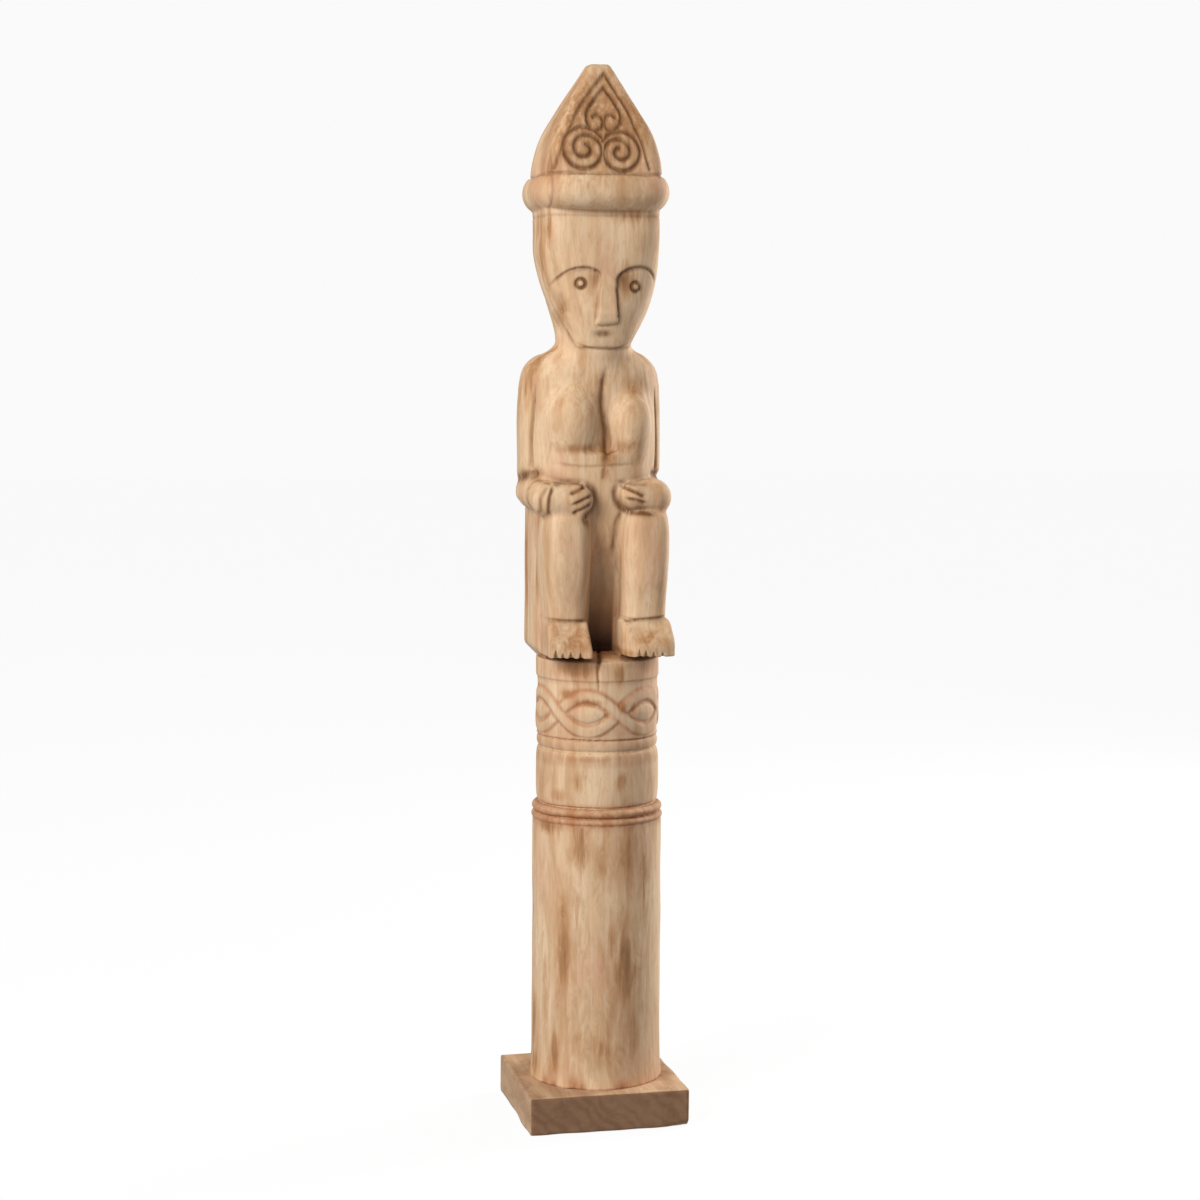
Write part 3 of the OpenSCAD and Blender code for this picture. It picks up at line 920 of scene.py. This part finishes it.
def carve(points, normals):
    """Height above the plain form and brown stain, after all the cuts."""
    height, stain = carve_lines(points, normals)
    height, stain = carve_face(points, normals, height, stain)
    for carve_more in (carve_band, carve_crack, carve_toes, carve_foot):
        height, stain = carve_more(points, height, stain)
    height, stain = carve_rings(points, normals, height, stain)
    # The foot stays flat where it meets the board
    above_board = np.clip((points[:, 2] - BOARD_TOP) / 3, 0, 1)
    return height + hand_worn(points) * above_board, stain


def sculpt_trunk():
    mesh = trunk_net()
    points = settle(mesh_points(mesh), trunk_form, 2)
    normals, _slope = gradient(points, trunk_form)
    height, stain = carve(points, normals)
    # Tight corners: painted shade there, along with the brown wash that gathers in them, kept as the
    # "corner" attribute
    corner_wash_and_shade = in_hollow(points, normals, trunk_form, reach=3.5)
    # Wide hollows and the hollow between the legs: painted shade, darker deeper down
    wide = in_hollow(points, normals, trunk_form, reach=22)
    moved = points + normals * height[:, None]
    moved[:, 2] = np.minimum(moved[:, 2], TIP_Z)
    moved[:, 0] += AXIS_X
    move_points(mesh, moved)
    set_attribute(mesh, "stain", np.clip(stain, 0, 1))
    set_attribute(mesh, "corner", corner_wash_and_shade)
    set_attribute(mesh, "hollow_shade", np.maximum(wide * 0.5, between_legs(points)))
    set_attribute(mesh, "patch", brown_patches(points))
    return mesh


def sculpt_board():
    pitch = 2.0
    axes = tuple(np.arange(BOARD_LOW[k] - 2.3, BOARD_HIGH[k] + 3, pitch) for k in range(3))
    points, quads = surface_net(grid_field(axes, board_form), axes)
    points = settle(points, board_form)
    mesh = mesh_from("plinth_plank", points, quads.tolist())
    normals, _slope = gradient(points, board_form)
    on_edge = np.abs(normals).max(axis=1) < 0.95
    wear = np.where(on_edge, 1.6, 0.6)
    points = points + normals * (hand_worn(points) * wear)[:, None]
    points[:, 2] = np.maximum(points[:, 2], BOARD_LOW[2])
    move_points(mesh, points)
    return mesh


def add_piece(name, mesh):
    piece = bpy.data.objects.new(name, mesh)
    bpy.context.scene.collection.objects.link(piece)
    mesh.polygons.foreach_set("use_smooth", [True] * len(mesh.polygons))
    return piece


# ---- Materials ----

def linear(red, green, blue):
    """A colour given as 0 to 255 on the screen, in linear light."""
    share = [c / 255 for c in (red, green, blue)]
    return tuple(s / 12.92 if s < 0.04045 else ((s + 0.055) / 1.055) ** 2.4 for s in share) + (1,)


class Shader:
    """Short calls for building a node material."""

    def __init__(self, name, roughness):
        self.material = bpy.data.materials.new(name)
        self.material.use_nodes = True
        self.tree = self.material.node_tree
        self.surface = self.tree.nodes["Principled BSDF"]
        self.surface.inputs["Roughness"].default_value = roughness
        self.place = self.tree.nodes.new("ShaderNodeTexCoord").outputs["Object"]

    def node(self, kind, sources=(), **settings):
        node = self.tree.nodes.new(kind)
        for key, value in settings.items():
            setattr(node, key, value)
        for socket, source in sources:
            if isinstance(source, bpy.types.NodeSocket):
                self.tree.links.new(source, node.inputs[socket])
            else:
                node.inputs[socket].default_value = source
        return node

    def stretched(self, scale, turn=(0, 0, 0)):
        sources = [("Vector", self.place), ("Scale", scale), ("Rotation", turn)]
        return self.node("ShaderNodeMapping", sources).outputs[0]

    def noise(self, scale, detail=3, roughness=0.55, distortion=0.0):
        sources = [("Vector", self.stretched(scale)), ("Scale", 1.0), ("Detail", detail),
                   ("Roughness", roughness), ("Distortion", distortion)]
        return self.node("ShaderNodeTexNoise", sources).outputs["Fac"]

    def spread(self, value, low, high, to_low=0.0, to_high=1.0):
        sources = [("Value", value), ("From Min", low), ("From Max", high),
                   ("To Min", to_low), ("To Max", to_high)]
        return self.node("ShaderNodeMapRange", sources).outputs["Result"]

    def math(self, operation, a, b=0.0):
        return self.node("ShaderNodeMath", [(0, a), (1, b)], operation=operation).outputs[0]

    def attribute(self, name):
        return self.node("ShaderNodeAttribute", attribute_name=name).outputs["Fac"]

    def mix(self, share, below, above):
        node = self.node("ShaderNodeMix", [(0, share), (6, below), (7, above)], data_type="RGBA")
        return node.outputs[2]

    def glaze(self, colour, value, low, high, strength, paint):
        """The colour with a thin paint over it where the value is high."""
        return self.mix(self.spread(value, low, high, 0, strength), colour, paint)

    def bump(self, height, strength, distance):
        sources = [("Height", height), ("Strength", strength), ("Distance", distance)]
        self.tree.links.new(self.node("ShaderNodeBump", sources).outputs[0], self.surface.inputs["Normal"])

    def finish(self, colour):
        self.tree.links.new(colour, self.surface.inputs["Base Color"])
        return self.material


def carved_wood():
    wood = Shader("bleached_carved_wood", 0.72)
    pale, tan, rosy = linear(240, 209, 172), linear(225, 185, 142), linear(222, 165, 132)
    ochre, umber, brown = linear(190, 136, 88), linear(140, 100, 66), linear(118, 76, 40)
    # shaded and deep are the colours of the painted shade in the hollows
    sienna, shaded, deep = linear(172, 104, 62), linear(124, 86, 54), linear(48, 26, 14)
    honey = linear(192, 144, 100)
    streaks = wood.noise((70, 70, 7), 4, 0.6, 0.4)
    fibres = wood.noise((420, 420, 18), 3, 0.6)
    clouds = wood.noise((22, 22, 13), 3, 0.55)
    mottle = wood.noise((100, 100, 26), 5, 0.66, 1.0)
    specks = wood.noise((330, 330, 130), 2, 0.6)
    colour = wood.mix(wood.spread(streaks, 0.36, 0.68), pale, tan)
    colour = wood.glaze(colour, clouds, 0.5, 0.72, 0.55, rosy)
    bands = wood.noise((40, 40, 7), 4, 0.62, 0.9)
    colour = wood.glaze(colour, bands, 0.48, 0.68, 0.6, honey)
    runs = wood.noise((190, 190, 14), 4, 0.65, 0.5)
    soaked = wood.math("MULTIPLY", wood.attribute("patch"), wood.spread(runs, 0.36, 0.64, 0.35, 0.75))
    wash = wood.math("ADD", wood.math("MULTIPLY", mottle, 0.85), soaked)
    colour = wood.glaze(colour, wash, 0.44, 0.78, 0.85, ochre)
    colour = wood.glaze(colour, wash, 0.7, 1.1, 0.75, umber)
    colour = wood.glaze(colour, specks, 0.56, 0.8, 0.3, ochre)
    colour = wood.glaze(colour, fibres, 0.4, 0.8, 0.14, umber)
    uneven = wood.spread(mottle, 0.3, 0.62, 0.55, 1.15)
    # The lines of the column are redder than the figure's
    high = wood.node("ShaderNodeSeparateXYZ", [(0, wood.place)]).outputs[2]
    stain_and_shade_ink = wood.mix(wood.spread(high, 0.435, 0.45), sienna, brown)
    # The corner attribute adds painted shade in tight corners, with the brown wash that gathers there, to
    # the stain of the carved lines
    corner = wood.math("MULTIPLY", wood.spread(wood.attribute("corner"), 0.14, 0.8, 0, 0.7), uneven)
    stain_and_corner_shade = wood.math("MAXIMUM", wood.math("MULTIPLY", wood.attribute("stain"), uneven), corner)
    colour = wood.mix(wood.math("MINIMUM", stain_and_corner_shade, 0.95), colour, stain_and_shade_ink)
    # Painted shade in the hollows, deepening to near black low between the legs
    hollow_shade = wood.attribute("hollow_shade")
    colour = wood.glaze(colour, hollow_shade, 0.2, 0.8, 0.85, shaded)
    colour = wood.glaze(colour, hollow_shade, 0.72, 1.0, 0.95, deep)
    wood.bump(wood.math("ADD", wood.math("MULTIPLY", fibres, 0.5), mottle), 0.35, 0.0006)
    wood.surface.inputs["Specular IOR Level"].default_value = 0.25
    return wood.finish(colour)


def plank_wood():
    wood = Shader("sawn_plinth_wood", 0.75)
    pale, tan = linear(222, 186, 148), linear(192, 152, 116)
    dark, ring = linear(150, 112, 82), linear(112, 78, 54)
    toffee, coffee, sand = linear(150, 108, 74), linear(108, 76, 52), linear(168, 130, 98)
    streaks = wood.noise((70, 6, 70), 4, 0.6, 0.3)
    fibres = wood.noise((380, 18, 380), 3, 0.6)
    mottle = wood.noise((60, 40, 90), 5, 0.66, 1.0)
    long_grain = wood.mix(wood.spread(streaks, 0.35, 0.65), pale, tan)
    long_grain = wood.glaze(long_grain, mottle, 0.48, 0.75, 0.6, toffee)
    long_grain = wood.glaze(long_grain, fibres, 0.45, 0.8, 0.25, dark)
    slant = wood.stretched((1, 1, 1), (0, math.radians(42), 0))
    waves = [("Vector", slant), ("Scale", 26.0), ("Distortion", 9.0), ("Detail", 4.0), ("Detail Scale", 1.4)]
    rings = wood.node("ShaderNodeTexWave", waves, bands_direction="X").outputs["Fac"]
    end_grain = wood.glaze(dark, rings, 0.25, 0.95, 0.35, ring)
    end_grain = wood.glaze(end_grain, mottle, 0.42, 0.7, 0.45, coffee)
    pale_spots = wood.noise((30, 30, 14), 3)
    end_grain = wood.glaze(end_grain, pale_spots, 0.5, 0.75, 0.5, sand)
    # The faces that look forwards and backwards are end grain
    normal = wood.tree.nodes["Texture Coordinate"].outputs["Normal"]
    facing = wood.node("ShaderNodeSeparateXYZ", [(0, normal)])
    ends = wood.spread(wood.math("ABSOLUTE", facing.outputs[1]), 0.55, 0.85)
    wood.bump(wood.math("ADD", fibres, streaks), 0.3, 0.0008)
    wood.surface.inputs["Specular IOR Level"].default_value = 0.25
    return wood.finish(wood.mix(ends, long_grain, end_grain))


def dowel_beech():
    wood = Shader("turned_beech", 0.6)
    fibres = wood.noise((300, 300, 12), 3, 0.6)
    pale, tan = linear(226, 194, 150), linear(200, 160, 116)
    return wood.finish(wood.mix(wood.spread(fibres, 0.35, 0.7), pale, tan))


def zinc_steel():
    steel = Shader("zinc_plated_steel", 0.32)
    steel.surface.inputs["Metallic"].default_value = 1.0
    cloud = steel.noise((140, 140, 140), 3, 0.5)
    bright, dull = linear(206, 202, 184), linear(176, 174, 164)
    return steel.finish(steel.mix(cloud, bright, dull))


def floor_paper():
    paper = Shader("pale_floor", 0.9)
    faint = paper.noise((0.7, 0.7, 0.7), 1)
    paper.surface.inputs["Emission Color"].default_value = (1, 1, 1, 1)
    paper.surface.inputs["Emission Strength"].default_value = 0.93
    paper.surface.inputs["Specular IOR Level"].default_value = 0.0
    return paper.finish(paper.mix(faint, linear(78, 78, 78), linear(82, 82, 82)))


# ---- Stage ----

def add_camera():
    """The photograph's view: from the figure's right, at the height of its chin, looking down a little."""
    data = bpy.data.cameras.new("camera")
    data.lens = 75.75
    data.sensor_width = 36
    data.shift_x = 0.0019
    camera = bpy.data.objects.new("camera", data)
    bpy.context.scene.collection.objects.link(camera)
    yaw, pitch, roll = math.radians(12.75), math.radians(-5.73), math.radians(0.3)
    distance, height = 2.4, 0.738
    ahead = Vector((math.sin(yaw) * math.cos(pitch), math.cos(yaw) * math.cos(pitch), math.sin(pitch)))
    right = Vector((math.cos(yaw), -math.sin(yaw), 0))
    up = right.cross(ahead)
    across = right * math.cos(roll) + up * math.sin(roll)
    upright = up * math.cos(roll) - right * math.sin(roll)
    turn = Matrix((across, upright, -ahead)).transposed()
    place = Vector((AXIS_X * MM - math.sin(yaw) * distance, -math.cos(yaw) * distance, height))
    camera.matrix_world = Matrix.Translation(place) @ turn.to_4x4()
    bpy.context.scene.camera = camera


def add_softbox(name, place, aim, size, power):
    data = bpy.data.lights.new(name, "AREA")
    data.shape = "RECTANGLE"
    data.size, data.size_y = size
    data.energy = power
    lamp = bpy.data.objects.new(name, data)
    lamp.location = place
    lamp.rotation_euler = (Vector(aim) - Vector(place)).to_track_quat("-Z", "Y").to_euler()
    bpy.context.scene.collection.objects.link(lamp)


def add_world(fill, backdrop):
    """Even fill light from all round, behind a plain pale backdrop."""
    world = bpy.data.worlds.new("studio")
    world.use_nodes = True
    bpy.context.scene.world = world
    tree = world.node_tree
    tree.nodes.clear()
    kinds = ("Background", "Background", "MixShader", "LightPath", "OutputWorld")
    soft, plain, choose, path, output = (tree.nodes.new("ShaderNode" + kind) for kind in kinds)
    soft.inputs["Strength"].default_value = fill
    plain.inputs["Color"].default_value = (1, 1, 1, 1)
    plain.inputs["Strength"].default_value = backdrop
    sources = (path.outputs["Is Camera Ray"], soft.outputs[0], plain.outputs[0])
    for source, socket in zip(sources, choose.inputs):
        tree.links.new(source, socket)
    tree.links.new(choose.outputs[0], output.inputs[0])


def add_floor():
    half, below = 12.0, 0.0005
    corners = [(-half, -half, 0), (half, -half, 0), (half, half, 0), (-half, half, 0)]
    floor = add_piece("studio_floor", mesh_from("studio_floor", corners, [(0, 1, 2, 3)]))
    floor.location.z = -below
    floor.data.materials.append(floor_paper())
    floor.visible_diffuse = False


# ---- Build ----

trunk = add_piece("trunk_carving", sculpt_trunk())
trunk.data.materials.append(carved_wood())
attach(trunk, "root")
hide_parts("carved_trunk")

plank = add_piece("plinth_plank", sculpt_board())
plank.data.materials.append(plank_wood())
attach(plank, "root")
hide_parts("plinth_board")

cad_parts["centre_dowel"].material_slots[0].material = dowel_beech()
steel = zinc_steel()
for name in SCREWS:
    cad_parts[name].material_slots[0].material = steel

add_camera()
add_floor()
add_world(fill=0.32, backdrop=0.955)
target = (AXIS_X * MM, 0, 0.55)
add_softbox("key", (-1.95, -1.65, 1.75), target, (1.3, 1.6), 70)
add_softbox("rim", (2.1, 0.8, 1.1), target, (0.8, 1.8), 56)
bpy.context.scene.view_settings.view_transform = "Standard"
